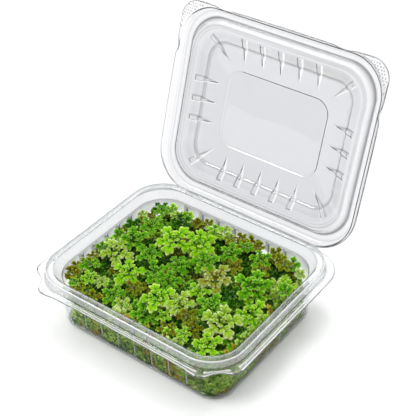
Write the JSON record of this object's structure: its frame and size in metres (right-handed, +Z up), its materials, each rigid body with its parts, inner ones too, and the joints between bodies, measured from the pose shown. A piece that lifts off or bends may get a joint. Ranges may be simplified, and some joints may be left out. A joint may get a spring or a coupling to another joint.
{
  "type": "mosquito fern in a hinged clear box",
  "caption": "Shallow clear plastic box with a rounded rim and a ribbed hinged lid standing open, filled with a tangled mat of small floating ferns.",
  "frame": {"origin": "middle of the tray's flat underside, on the surface it stands on", "axes": "+X along the hinge to the right as seen from the front, +Y from the front edge towards the hinge at the back, +Z up"},
  "size_m": [0.161, 0.1808, 0.162],
  "materials": {
    "clear_tray": "clear, glossy, thin formed sheet",
    "clear_lid": "clear, glossy, thin formed sheet",
    "fern_bed": "wet matted stems, roots and old fronds",
    "fern_green": "wet leaf, mid green",
    "fern_bright": "wet leaf, bright green",
    "fern_pale": "wet leaf, pale yellow-green",
    "fern_mint": "wet leaf, greyish mint with brown veins",
    "fern_dark": "wet leaf, dark green",
    "fern_russet": "wet leaf, brown and olive"
  },
  "bodies": {
    "tray": {"tray": "clear_tray", "fern_mat": "fern_bed", "fern_plant_01": "fern_russet", "fern_plant_02": "fern_green", "fern_plant_03": "fern_green", "fern_plant_04": "fern_green", "fern_plant_05": "fern_pale", "fern_plant_06": "fern_green", "fern_plant_07": "fern_green", "fern_plant_08": "fern_bright", "fern_plant_09": "fern_green", "fern_plant_10": "fern_pale", "fern_plant_11": "fern_green", "fern_plant_12": "fern_green", "fern_plant_13": "fern_green", "fern_plant_14": "fern_dark", "fern_plant_15": "fern_bright", "fern_plant_16": "fern_bright", "fern_plant_17": "fern_russet", "fern_plant_18": "fern_green", "fern_plant_19": "fern_russet", "fern_plant_20": "fern_green", "fern_plant_21": "fern_pale", "fern_plant_22": "fern_bright", "fern_plant_23": "fern_green", "fern_plant_24": "fern_bright", "fern_plant_25": "fern_green", "fern_plant_26": "fern_bright", "fern_plant_27": "fern_green", "fern_plant_28": "fern_russet", "fern_plant_29": "fern_green", "fern_plant_30": "fern_green", "fern_plant_31": "fern_bright", "fern_plant_32": "fern_green", "fern_plant_33": "fern_pale", "fern_plant_34": "fern_bright", "fern_plant_35": "fern_mint", "fern_plant_36": "fern_russet", "fern_plant_37": "fern_russet", "fern_plant_38": "fern_russet", "fern_plant_39": "fern_green", "fern_plant_40": "fern_green", "fern_plant_41": "fern_bright", "fern_plant_42": "fern_russet", "fern_plant_43": "fern_russet", "fern_plant_44": "fern_dark", "fern_plant_45": "fern_russet", "fern_plant_46": "fern_green", "fern_plant_47": "fern_pale", "fern_plant_48": "fern_bright", "fern_plant_49": "fern_russet", "fern_plant_50": "fern_bright", "fern_plant_51": "fern_pale", "fern_plant_52": "fern_green", "fern_plant_53": "fern_russet"},
    "lid": {"lid": "clear_lid"}
  },
  "joints": [
    {"name": "lid_hinge", "type": "hinge", "parent": "tray", "child": "lid", "pos_m": [0, 0.0652, 0.0377], "axis": [-1, 0, 0], "range_deg": [-108.5, 71.5]}
  ]
}
